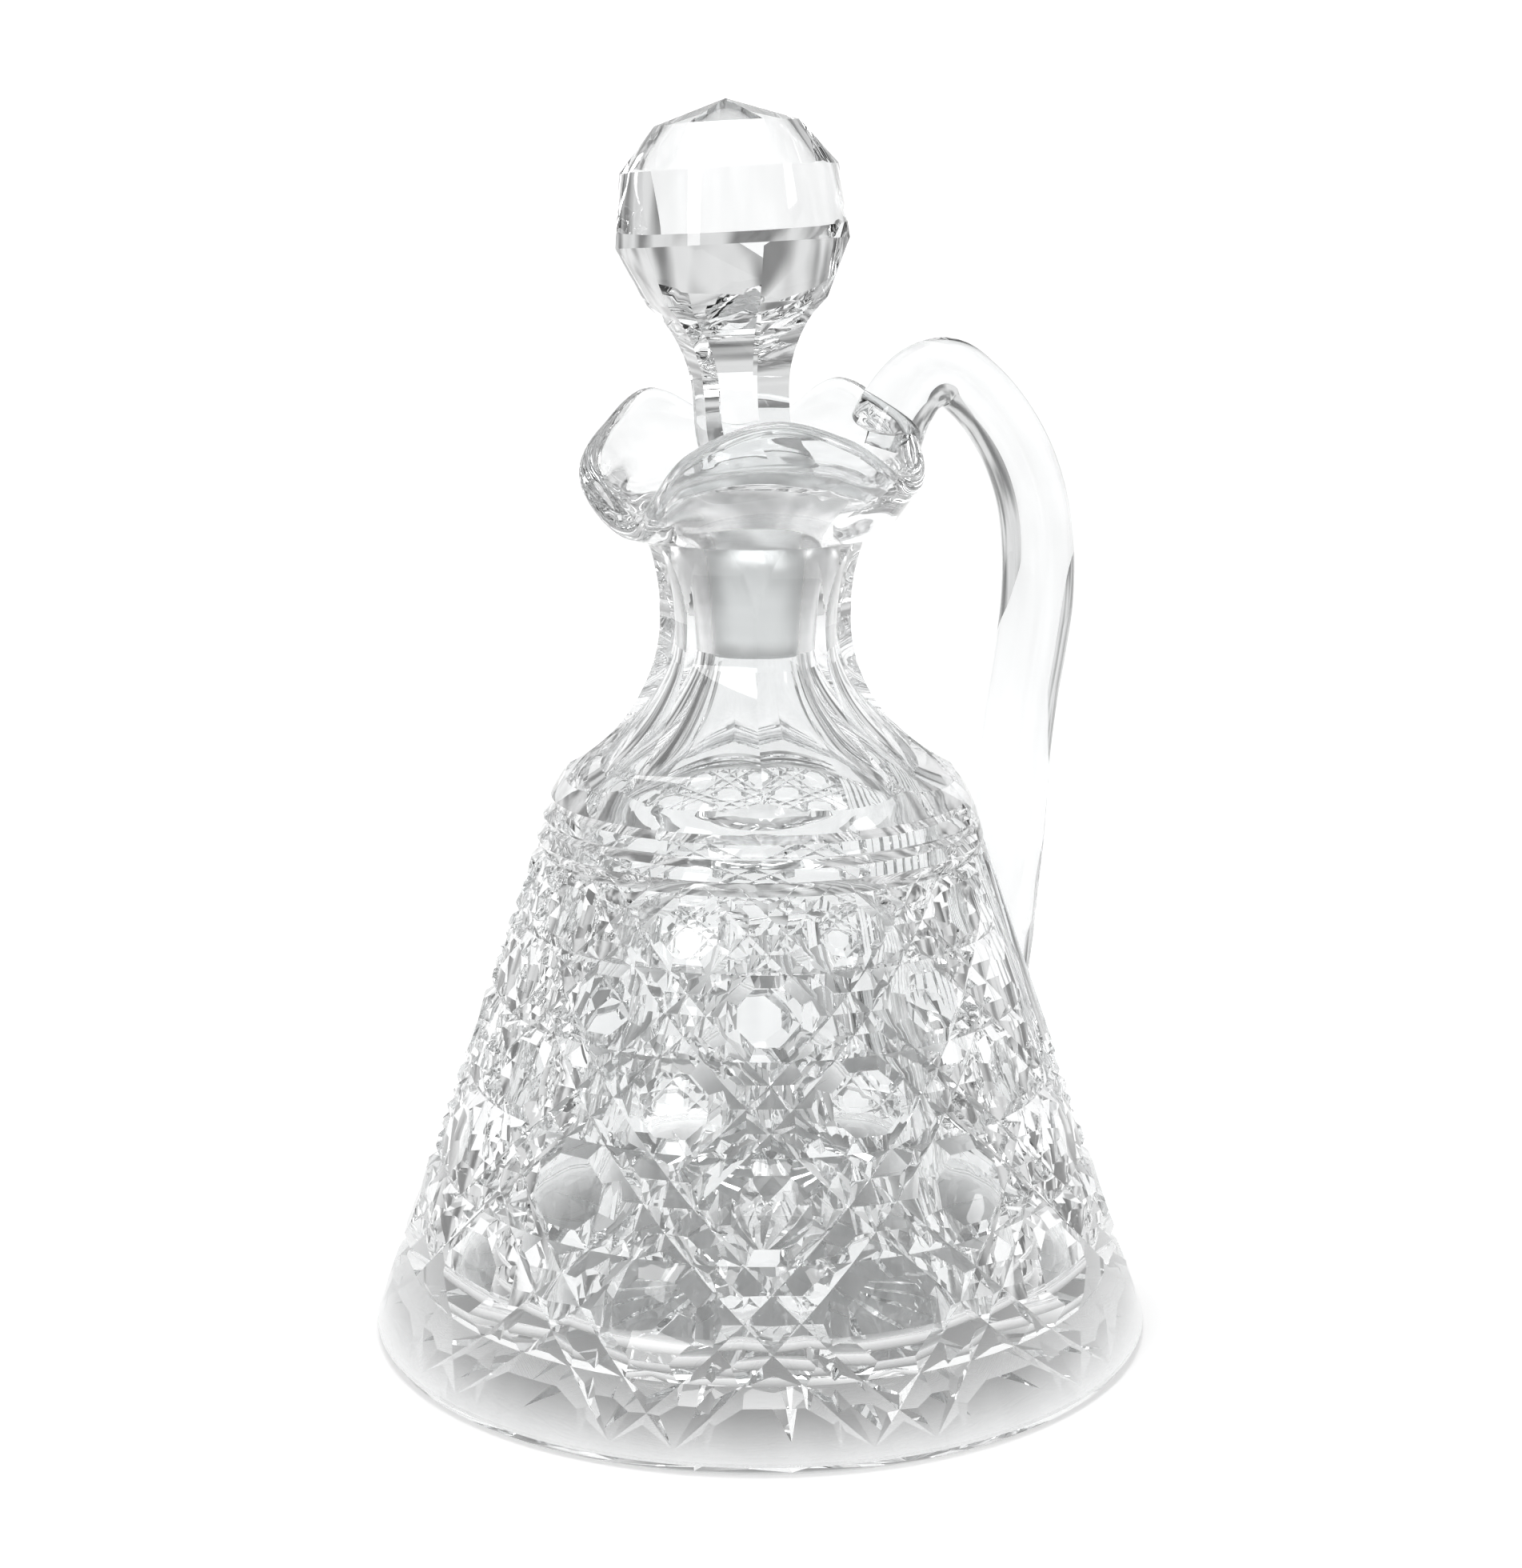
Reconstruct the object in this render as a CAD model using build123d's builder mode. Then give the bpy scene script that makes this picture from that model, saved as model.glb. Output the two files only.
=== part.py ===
import math
import os

from build123d import *

os.makedirs("parts", exist_ok=True)

# Origin at the centre of the resting plane, +Z up, handle toward +X, pouring spout toward -X.

# Vessel envelope (mm)
base_radius = 68.5
cone_slope = 0.3461
shoulder_height = 86.0
neck_rise = 43.4
neck_radius = 16.6
collar_rise = 11.6
collar_radius = 18.9
lip_rise = 25.0
foot_bevel = 1.2
cone_foot_radius = base_radius + 1.36
neck_height = shoulder_height + neck_rise
collar_height = neck_height + collar_rise
rim_height = collar_height + lip_rise

# Glass thickness
wall = 6.1
floor_height = 13.0
floor_corner = 6.0
lip_wall = 4.4

# Ground taper seat shared by the neck bore and the stopper peg
seat_bottom = collar_height - 19.5
seat_top = collar_height + 8.0
seat_bottom_radius = 8.3
seat_top_radius = 9.9
seat_clearance = 0.06
seat_slope = (seat_top_radius - seat_bottom_radius) / (seat_top - seat_bottom)

# Hand-drawn lip: azimuth, how far the rim stands out from the collar, its rise above the collar
rim_plan = [
    (-160, 9.4, 5.6),
    (-130, 11.0, 15.5),
    (-105, 11.6, 21.5),
    (-80, 11.6, 18.8),
    (-55, 11.8, 12.6),
    (-25, 8.8, 16.5),
    (5, 7.9, 21.0),
    (38, 8.1, 26.0),
    (75, 9.8, 16.8),
    (110, 12.0, 24.3),
    (138, 12.1, 18.0),
    (170, 11.4, 9.5),
]

# Dips ground by hand into the rim: azimuth, depth below the rim height, radius, fall outward
rim_dips = [
    (-166, 15.6, 26.0, 10.3),
    (-57, 12.8, 18.0, 0.0),
    (75, 8.4, 17.0, 0.0),
]
rim_tilt = 5.1
rim_tilt_azimuth = 80.0
rim_tilt_drop = 1.7

# Cut decoration
columns = 10
mitre_half_width = 1.9
mitre_depth = 1.7
ring_cuts = [shoulder_height + 8.8, shoulder_height + 5.0, shoulder_height + 1.1]
upper_levels = [0.874 * shoulder_height, 0.72 * shoulder_height]
panel_bottom = 0.55 * shoulder_height
lower_levels = [panel_bottom, 0.363 * shoulder_height, 0.155 * shoulder_height]
panel_arc = 72.0
panel_flutes = 8
panel_flute_radius = 4.0
panel_flute_depth = 0.9
upright_foot = 7.0
upright_length = 0.884 * shoulder_height
neck_flutes = 8
neck_flute_clocking = 3.6
flute_depth = 1.3
wheel_radius = 29.0
wheel_axis_radius = neck_radius - flute_depth + wheel_radius
wheel_axis_height = neck_height - 2.2
star_rays = 24
star_margin = 13.7
star_radius = base_radius - star_margin
star_half_width = 2.4
star_depth = 1.8

# Handle: root on the lip, tail on the cone
handle_width = 13.2
handle_depth = 11.9
handle_root_radius = collar_radius + 3.7
handle_root_height = rim_height - 9.0
handle_tail_drop = 28.466
handle_tail_height = shoulder_height - handle_tail_drop

# Stopper
stopper_lean = 2.9
lean_azimuth = 160.1
stem_shift = 1.7
stopper_clocking = -94.9
peg_bottom = seat_bottom - 0.6
peg_top = seat_top + 0.6
stem_waist_radius = 8.4
ball_base_height = peg_top + 31.6
ball_base_radius = 16.0
ball_wide_height = ball_base_height + 9.7
ball_wide_radius = 20.3
ball_upper_height = ball_wide_height + 12.2
ball_upper_radius = 18.5
ball_crown_height = ball_upper_height + 7.5
ball_crown_radius = 12.2
ball_top_height = ball_crown_height + 4.0


def cone_radius(height):
    return cone_foot_radius - cone_slope * height


def seat_radius(height):
    return seat_bottom_radius + seat_slope * (height - seat_bottom)


def rim_at(azimuth):
    """Stand-out and rise of the rim at an azimuth, eased between the points of the plan."""
    ring = rim_plan + [(rim_plan[0][0] + 360, rim_plan[0][1], rim_plan[0][2])]
    turned = (azimuth - ring[0][0]) % 360 + ring[0][0]
    for before, after in zip(ring, ring[1:]):
        if before[0] <= turned <= after[0]:
            share = (turned - before[0]) / (after[0] - before[0])
            eased = (1 - math.cos(math.pi * share)) / 2
            out = before[1] + (after[1] - before[1]) * eased
            rise = before[2] + (after[2] - before[2]) * eased
    return out, rise


def lip_radius(azimuth, height):
    """Low parts of the lip flare out at once, high parts rise steeply before they flare."""
    out, rise = rim_at(azimuth)
    share = min(max((height - collar_height) / rise, 0.02), 1.0)
    power = 0.5 + 0.05 * max(rise - 5.0, 0.0)
    return collar_radius + out * share**power


def outline(radius_at):
    points = []
    for step in range(24):
        angle = math.radians(15 * step)
        radius = radius_at(15 * step)
        points.append((radius * math.cos(angle), radius * math.sin(angle)))
    return points


# Outer form of the vessel from foot to collar, revolved about Z
shoulder_shape = [
    (0.0, 1.0),
    (0.12, 0.941),
    (0.23, 0.868),
    (0.323, 0.766),
    (0.412, 0.621),
    (0.514, 0.409),
    (0.611, 0.247),
    (0.71, 0.14),
    (0.806, 0.068),
    (0.903, 0.021),
    (1.0, 0.0),
]
shoulder_outline = []
for rise, spread in shoulder_shape:
    radius = neck_radius + spread * (cone_radius(shoulder_height) - neck_radius)
    shoulder_outline.append((radius, shoulder_height + rise * neck_rise))
for rise, spread in [(0.362, 0.13), (0.724, 0.52), (1.0, 1.0)]:
    radius = neck_radius + spread * (collar_radius - neck_radius)
    shoulder_outline.append((radius, neck_height + rise * collar_rise))
with BuildPart() as form:
    with BuildSketch(Plane.XZ):
        with BuildLine():
            Polyline(
                (0, 0),
                (base_radius - foot_bevel, 0),
                (cone_radius(foot_bevel), foot_bevel),
                (cone_radius(shoulder_height), shoulder_height),
            )
            Spline(*shoulder_outline)
            Polyline((collar_radius, collar_height), (0, collar_height), (0, 0))
        make_face()
    revolve(axis=Axis.Z)

    # Eight panel flutes ground down the neck by a wheel on a tangential axis
    with Locations((0, 0, wheel_axis_height)):
        with PolarLocations(wheel_axis_radius, neck_flutes, start_angle=neck_flute_clocking):
            Cylinder(wheel_radius, 44, rotation=(90, 0, 0), mode=Mode.SUBTRACT)

# Lip drawn out of the collar
with BuildPart() as lip:
    with BuildSketch(Plane.XY.offset(collar_height - 5.5)):
        Circle(collar_radius - 3.4)
    with BuildSketch(Plane.XY.offset(collar_height - 1.4)):
        Circle(collar_radius + 0.1)
    for share in [0.1, 0.22, 0.38, 0.58, 0.78, 1.04]:
        height = collar_height + share * lip_rise
        with BuildSketch(Plane.XY.offset(height)):
            with BuildLine():
                Spline(*outline(lambda azimuth: lip_radius(azimuth, height)), periodic=True)
            make_face()
    loft()

# Mouth: a well that widens from the ground seat to the rim
with BuildPart() as mouth:
    with BuildSketch(Plane.XY.offset(seat_top - 2.0)):
        Circle(seat_top_radius - 1.2)
    for share, opened in [(0.38, 0.5), (0.52, 0.84), (0.74, 1.0), (1.05, 1.0)]:
        height = collar_height + share * lip_rise
        with BuildSketch(Plane.XY.offset(height)):
            with BuildLine():
                Spline(
                    *outline(
                        lambda azimuth: seat_top_radius
                        + opened * (lip_radius(azimuth, height) - lip_wall - seat_top_radius)
                    ),
                    periodic=True,
                )
            make_face()
    loft()

# Liquid chamber, throat and ground seat
chamber_shape = [
    (0.0, 1.0),
    (0.156, 0.873),
    (0.312, 0.678),
    (0.468, 0.461),
    (0.623, 0.266),
    (0.779, 0.116),
    (0.909, 0.026),
    (1.0, 0.0),
]
chamber_shoulder = shoulder_height - 3.0
chamber_shoulder_radius = cone_radius(chamber_shoulder) - wall
chamber_outline = []
for rise, spread in chamber_shape:
    radius = seat_bottom_radius + spread * (chamber_shoulder_radius - seat_bottom_radius)
    chamber_outline.append((radius, chamber_shoulder + rise * (seat_bottom - chamber_shoulder)))
floor_radius = cone_radius(floor_height) - wall - floor_corner
corner_top = floor_height + floor_corner
with BuildPart() as chamber:
    with BuildSketch(Plane.XZ):
        with BuildLine():
            Polyline(
                (0, floor_height),
                (floor_radius, floor_height),
                (cone_radius(corner_top) - wall, corner_top),
                (chamber_shoulder_radius, chamber_shoulder),
            )
            Spline(*chamber_outline)
            Polyline(
                (seat_bottom_radius, seat_bottom),
                (seat_radius(seat_top), seat_top),
                (0, seat_top),
                (0, floor_height),
            )
        make_face()
    revolve(axis=Axis.Z)

# Wheel-cut ring steps and level mitres, open across the plain panel under the handle
with BuildPart() as ring_cutters:
    for height in ring_cuts + upper_levels:
        with BuildSketch(Plane.XZ.rotated((0, 0, panel_arc / 2))):
            with Locations((cone_radius(height) + 0.6, height)):
                Polygon(
                    (-mitre_depth, 0),
                    (2.0, 2 * mitre_half_width),
                    (2.0, -2 * mitre_half_width),
                    align=None,
                )
        revolve(axis=Axis.Z, revolution_arc=360 - panel_arc)

with BuildPart() as level_cutters:
    for height in lower_levels:
        with BuildSketch(Plane.XZ):
            with Locations((cone_radius(height), height)):
                Polygon(
                    (-mitre_depth, 0),
                    (2.0, 2 * mitre_half_width),
                    (2.0, -2 * mitre_half_width),
                    align=None,
                )
        revolve(axis=Axis.Z)

# Upright mitres along the cone, two to each column, stopping at the plain panel
cone_angle = math.degrees(math.atan(cone_slope))
upright_plane = Plane((cone_foot_radius, 0, 0), x_dir=(0, 1, 0), z_dir=(-cone_slope, 0, 1))
with BuildPart() as upright_cutter:
    with BuildSketch(upright_plane.offset(upright_foot)):
        Polygon(
            (0, mitre_depth),
            (2 * mitre_half_width, -2.0),
            (-2 * mitre_half_width, -2.0),
            align=None,
        )
    extrude(amount=upright_length)
with BuildPart() as short_upright_cutter:
    with BuildSketch(upright_plane.offset(upright_foot)):
        Polygon(
            (0, mitre_depth),
            (2 * mitre_half_width, -2.0),
            (-2 * mitre_half_width, -2.0),
            align=None,
        )
    extrude(amount=(panel_bottom - upright_foot) / math.cos(math.radians(cone_angle)))

# Hollow flute of the plain panel
with BuildPart() as panel_cutter:
    with BuildSketch(upright_plane.offset(panel_bottom)):
        with Locations((0, -panel_flute_radius + panel_flute_depth)):
            Circle(panel_flute_radius)
    extrude(amount=0.465 * shoulder_height)

# Tapered ray of the star-cut base
with BuildPart() as star_cutter:
    with BuildSketch(Plane.YZ.offset(1.0)):
        Polygon((-0.4, -0.1), (0.4, -0.1), (0, 0.3), align=None)
    with BuildSketch(Plane.YZ.offset(star_radius / 2)):
        Polygon((-star_half_width, -0.1), (star_half_width, -0.1), (0, star_depth), align=None)
    with BuildSketch(Plane.YZ.offset(star_radius)):
        Polygon((-0.4, -0.1), (0.4, -0.1), (0, 0.3), align=None)
    loft(ruled=True)

with BuildPart() as outer_form:
    add(form.part)
    add(lip.part)
    tilt = math.radians(rim_tilt)
    tilt_azimuth = math.radians(rim_tilt_azimuth)
    rim_normal = (
        -math.sin(tilt) * math.cos(tilt_azimuth),
        -math.sin(tilt) * math.sin(tilt_azimuth),
        math.cos(tilt),
    )
    with Locations(Plane((0, 0, rim_height - rim_tilt_drop), z_dir=rim_normal)):
        Cylinder(50, 20, align=(Align.CENTER, Align.CENTER, Align.MIN), mode=Mode.SUBTRACT)
    for azimuth, depth, radius, fall in rim_dips:
        lowest = rim_height - depth + collar_radius * math.tan(math.radians(fall))
        with Locations(Location((0, 0, lowest + radius), (0, 0, azimuth))):
            Cylinder(
                radius,
                48,
                rotation=(0, 90 + fall, 0),
                align=(Align.CENTER, Align.CENTER, Align.MIN),
                mode=Mode.SUBTRACT,
            )
    add(ring_cutters.part, mode=Mode.SUBTRACT)
    add(level_cutters.part, mode=Mode.SUBTRACT)
    for index in range(2 * columns):
        azimuth = 9 + 18 * index
        over_panel = min(azimuth, 360 - azimuth) < panel_arc / 2
        cutter = short_upright_cutter.part if over_panel else upright_cutter.part
        add(cutter.rotate(Axis.Z, azimuth), mode=Mode.SUBTRACT)
    for index in range(panel_flutes):
        azimuth = (index - (panel_flutes - 1) / 2) * panel_arc / panel_flutes
        add(panel_cutter.part.rotate(Axis.Z, azimuth), mode=Mode.SUBTRACT)
    with PolarLocations(0, star_rays):
        add(star_cutter.part, mode=Mode.SUBTRACT)

with BuildPart() as decanter_body:
    add(outer_form.part)
    add(chamber.part, mode=Mode.SUBTRACT)
    add(mouth.part, mode=Mode.SUBTRACT)
decanter_body.part.label = "decanter_body"

# Applied handle: a tapered round gather following one curve in the XZ plane
handle_shape = [
    (0.0, 0.0),
    (-0.066, 4.8),
    (-0.108, 10.2),
    (-0.117, 15.6),
    (-0.079, 20.2),
    (-0.024, 23.5),
    (0.042, 25.4),
    (0.121, 25.8),
    (0.211, 24.5),
    (0.302, 21.9),
    (0.387, 18.4),
    (0.472, 14.7),
    (0.563, 10.9),
    (0.653, 7.6),
    (0.744, 4.7),
    (0.834, 2.4),
    (0.92, 0.8),
    (1.0, 0.0),
]
handle_path = []
for share, bow in handle_shape:
    tail_radius = cone_radius(handle_tail_height) + 0.4
    radius = handle_root_radius + share * (tail_radius - handle_root_radius) + bow
    handle_path.append((radius, handle_root_height + share * (handle_tail_height - handle_root_height)))
root_widths = [16.0, 14.4, 13.0, 12.2]
tail_widths = [13.4, 13.6, 13.0, 11.2, 8.0, 4.0]
handle_widths = root_widths + [handle_width] * 8 + tail_widths
handle_depths = [12.8, 12.2, 11.9] + [handle_depth] * 9 + [12.6, 13.4, 12.8, 10.6, 7.4, 3.6]
with BuildPart() as applied_handle:
    for index, (radius, height) in enumerate(handle_path):
        before = handle_path[max(index - 1, 0)]
        after = handle_path[min(index + 1, len(handle_path) - 1)]
        along = (after[0] - before[0], 0, after[1] - before[1])
        with BuildSketch(Plane((radius, 0, height), x_dir=(0, 1, 0), z_dir=along)):
            Ellipse(handle_widths[index] / 2, handle_depths[index] / 2)
    loft()
    add(outer_form.part, mode=Mode.SUBTRACT)
applied_handle.part.label = "applied_handle"

# Stopper: ground peg, six-panelled stem and faceted ball
with BuildPart() as peg:
    with BuildSketch(Plane.XZ):
        Polygon(
            (0, peg_bottom),
            (seat_radius(peg_bottom) - seat_clearance - 0.6, peg_bottom),
            (seat_radius(peg_bottom + 0.6) - seat_clearance, peg_bottom + 0.6),
            (seat_radius(seat_top) - seat_clearance, seat_top),
            (seat_radius(seat_top) - seat_clearance - 0.25, peg_top),
            (0, peg_top),
            align=None,
        )
    revolve(axis=Axis.Z)

stem_outline = [
    (11.4, peg_top - 0.8),
    (8.7, peg_top + 7.4),
    (stem_waist_radius, peg_top + 14.4),
    (8.9, peg_top + 19.9),
    (10.4, peg_top + 24.6),
    (12.6, peg_top + 28.6),
    (ball_base_radius, ball_base_height),
]
panel_share = math.cos(math.pi / 6)
stem_panel_points = [(radius * panel_share, height) for radius, height in stem_outline]
with BuildPart() as panels:
    for turn in range(3):
        rest_mode = Mode.ADD if turn == 0 else Mode.INTERSECT
        with BuildSketch(Plane.XZ.rotated((0, 0, stopper_clocking + 30 + 60 * turn))) as panel_pair:
            with BuildLine():
                Spline(*stem_panel_points)
                Line(stem_panel_points[-1], (0, ball_base_height))
                Line((0, ball_base_height), (0, peg_top - 0.8))
                Line((0, peg_top - 0.8), stem_panel_points[0])
            make_face()
            mirror(about=Plane.YZ)
        extrude(amount=25, both=True, mode=rest_mode)

lean_direction = Vector(math.cos(math.radians(lean_azimuth)), math.sin(math.radians(lean_azimuth)), 0)
lean_axis = Axis((0, 0, peg_top), (-lean_direction.Y, lean_direction.X, 0))

# Round shank between the peg and the panels: height above the peg, radius, shift of its centre
shank_sections = [
    (-0.8, 9.45, 0.0),
    (3.4, 9.0, 0.6),
    (8.4, 9.0, 2.1),
    (20.0, 16.0, 2.7),
    (34.0, 24.0, 3.4),
]
with BuildPart() as stem:
    for rise, radius, shift in shank_sections:
        with BuildSketch(Plane.XY.offset(peg_top + rise)):
            with Locations((shift * lean_direction.X, shift * lean_direction.Y)):
                Circle(radius)
    loft()
    leaning_panels = panels.part.rotate(lean_axis, stopper_lean)
    add(leaning_panels.translate(lean_direction * stem_shift), mode=Mode.INTERSECT)


def crown(radius, height, count, start):
    points = []
    for step in range(count):
        angle = math.radians(stopper_clocking + start + 360 * step / count)
        points.append(Vector(radius * math.cos(angle), radius * math.sin(angle), height))
    return points


def triangle(first, second, third):
    return Face(Wire.make_polygon([first, second, third], close=True))


base_ring = crown(ball_base_radius, ball_base_height, 6, 0)
wide_ring = crown(ball_wide_radius, ball_wide_height, 12, 0)
upper_ring = crown(ball_upper_radius, ball_upper_height, 12, 15)
crown_ring = crown(ball_crown_radius, ball_crown_height, 6, 15)
summit = Vector(0, 0, ball_top_height)
ball_faces = [Face(Wire.make_polygon(base_ring, close=True))]
for step in range(6):
    low, low_next = base_ring[step], base_ring[(step + 1) % 6]
    wide, wide_mid, wide_next = (wide_ring[(2 * step + k) % 12] for k in range(3))
    ball_faces.append(triangle(low, wide, wide_mid))
    ball_faces.append(triangle(low, wide_mid, low_next))
    ball_faces.append(triangle(low_next, wide_mid, wide_next))
    high, high_next = crown_ring[step], crown_ring[(step + 1) % 6]
    under, under_mid, under_next = (upper_ring[(2 * step + k) % 12] for k in range(3))
    ball_faces.append(triangle(high, under, under_mid))
    ball_faces.append(triangle(high, under_mid, high_next))
    ball_faces.append(triangle(high_next, under_mid, under_next))
    ball_faces.append(triangle(high, high_next, summit))
for step in range(12):
    wide, wide_next = wide_ring[step], wide_ring[(step + 1) % 12]
    upper, upper_next = upper_ring[step], upper_ring[(step + 1) % 12]
    ball_faces.append(triangle(wide, wide_next, upper))
    ball_faces.append(triangle(wide_next, upper_next, upper))
ball = Solid(Shell(ball_faces))

with BuildPart() as stopper:
    add(peg.part)
    add(stem.part)
    add(ball.rotate(lean_axis, stopper_lean).translate(lean_direction * stem_shift))
stopper.part.label = "stopper"

export_step(decanter_body.part, "parts/decanter_body.step")
export_step(applied_handle.part, "parts/applied_handle.step")
export_step(stopper.part, "parts/stopper.step")
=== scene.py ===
import math

import bpy
from mathutils import Matrix, Vector


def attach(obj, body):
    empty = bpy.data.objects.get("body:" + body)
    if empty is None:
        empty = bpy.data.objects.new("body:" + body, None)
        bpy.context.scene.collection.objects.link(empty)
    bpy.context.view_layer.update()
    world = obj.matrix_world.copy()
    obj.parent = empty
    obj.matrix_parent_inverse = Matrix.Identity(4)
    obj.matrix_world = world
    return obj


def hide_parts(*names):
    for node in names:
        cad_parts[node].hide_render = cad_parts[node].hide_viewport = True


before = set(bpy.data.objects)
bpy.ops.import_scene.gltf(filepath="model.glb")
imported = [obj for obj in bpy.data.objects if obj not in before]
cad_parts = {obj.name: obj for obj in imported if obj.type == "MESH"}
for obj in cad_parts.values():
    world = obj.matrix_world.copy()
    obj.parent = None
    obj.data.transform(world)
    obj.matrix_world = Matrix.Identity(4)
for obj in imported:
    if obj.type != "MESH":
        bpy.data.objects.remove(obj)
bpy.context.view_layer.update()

# ---------------------------------------------------------------- sizes, in millimetres

MM = 0.001
CONE_FOOT = 69.86
CONE_SLOPE = 0.3461
BASE_RADIUS = 68.5
FOOT_EDGE = 1.6
FLOOR = 13.0
FLOOR_CORNER = 5.0
WALL = 6.1

COLUMNS = 10
ROW_RATIO = 1.1045
MIDDLE_ROW_RADIUS = 50.92
MITRE_SLOPE = 0.8
UPRIGHT_HALF = 0.067
LEVEL_HALF = 0.080
SLANT_HALF = 0.0875
SLANT_OFFSET = 0.375
BORDER_HALF = 0.100
PATTERN_FOOT = -1.50
FIRST_LEVEL = -1.25
LAST_LEVEL = 1.25
PATTERN_HEAD = 1.33
PANEL_FOOT = -0.25
PANEL_RUN = 0.14
BUTTON_DISH = 0.010
STRIPS = 8
CELLS = 16

RING_CUTS = (91.0, 94.8)
RING_HALF = 1.75
RING_DEPTH = 1.45
PANEL_HALF_DEG = 36.0

FLUTES = 8
FLUTE_CLOCKING = 3.6
WHEEL_RADIUS = 29.0
WHEEL_AXIS_RADIUS = 44.3
WHEEL_AXIS_HEIGHT = 127.2
COLLAR = 141.0
COLLAR_RADIUS = 18.9

SEAT_BOTTOM = 121.5
SEAT_TOP = 148.5
SEAT_BOTTOM_RADIUS = 8.3
SEAT_SLOPE = 1.6 / 27.5
SEAT_CLEARANCE = 0.06
RIM_ROUND = 2.2
LIP_OUTER = 20
LIP_ROLL = 24
LIP_INNER = 18

STAR_RAYS = 24
STAR_RADIUS = 56.0
STAR_WIDEST = 28.0
STAR_DEPTH = 2.6

PEG_TOP = 150.0
PEG_BOTTOM = 120.9
STOPPER_LEAN = 2.9
LEAN_AZIMUTH = 160.1
STEM_SHIFT = 1.7
NECK_DRIFT = 0.85
DRIFT_START = 98.0
DRIFT_RUN = 18.0
STOPPER_CLOCKING = -94.9
STEM_TURNS = 72
STEM_PANELS = 6
SHANK_RADIUS = 9.35
SHANK_FLARE = 0.06
BALL_BASE = 181.2
BALL_WIDE = (20.3, 190.9)
BALL_UPPER = (18.5, 203.1)
BALL_CROWN = (12.2, 210.6)
BALL_SUMMIT = 214.6

SEGMENTS = 360

# Studio, in metres and degrees
CAMERA_DISTANCE = 0.46541
CAMERA_HEIGHT = 0.19401
CAMERA_TURN = -19.889
CAMERA_PITCH = 11.709
SWEEP_FRONT = -0.115
SWEEP_BACK = 1.40
SWEEP_CURVE = 0.25
SWEEP_TOP = 0.42
SWEEP_HALF = 0.60
TENT_DARK = 0.20
TENT_LIGHT = 0.80
# Painted contact shadow: how low the sweep's painted glow is held right under the glass
PAINTED_SHADOW_GLOW = 0.12
# Painted light: the glow of the floor and, brighter, of the back wall, emitted though no lamp
PAINTED_FLOOR_GLOW = 0.38
PAINTED_WALL_GLOW = 0.46


def cone_radius(height):
    return CONE_FOOT - CONE_SLOPE * height


def smooth_through(points):
    """A smooth curve y(x) through points sorted by x, with slopes taken from the neighbours."""
    xs = [p[0] for p in points]
    ys = [p[1] for p in points]
    slopes = []
    for i in range(len(xs)):
        a, b = max(i - 1, 0), min(i + 1, len(xs) - 1)
        slopes.append((ys[b] - ys[a]) / (xs[b] - xs[a]))

    def curve(x):
        i = 0
        while i < len(xs) - 2 and x > xs[i + 1]:
            i += 1
        span = xs[i + 1] - xs[i]
        t = (x - xs[i]) / span
        return (
            ys[i] * (1 + 2 * t) * (1 - t) ** 2
            + span * slopes[i] * t * (1 - t) ** 2
            + ys[i + 1] * t * t * (3 - 2 * t)
            - span * slopes[i + 1] * t * t * (1 - t)
        )

    return curve


shoulder_curve = smooth_through(
    [
        (82.0, cone_radius(82.0)),
        (86.0, cone_radius(86.0)),
        (91.2, 38.7),
        (96.0, 37.0),
        (100.0, 34.6),
        (103.9, 31.2),
        (108.3, 26.2),
        (112.5, 22.4),
        (116.8, 19.9),
        (121.0, 18.2),
        (125.2, 17.1),
        (129.4, 16.6),
        (133.6, 16.9),
        (137.8, 17.8),
        (COLLAR, COLLAR_RADIUS),
    ]
)
chamber_curve = smooth_through(
    [
        (78.0, cone_radius(78.0) - WALL),
        (83.0, 35.0),
        (89.0, 31.6),
        (95.0, 26.4),
        (101.0, 20.6),
        (107.0, 15.4),
        (113.0, 11.4),
        (118.0, 9.0),
        (SEAT_BOTTOM, SEAT_BOTTOM_RADIUS),
    ]
)


# ---------------------------------------------------------------- mesh building


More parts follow.
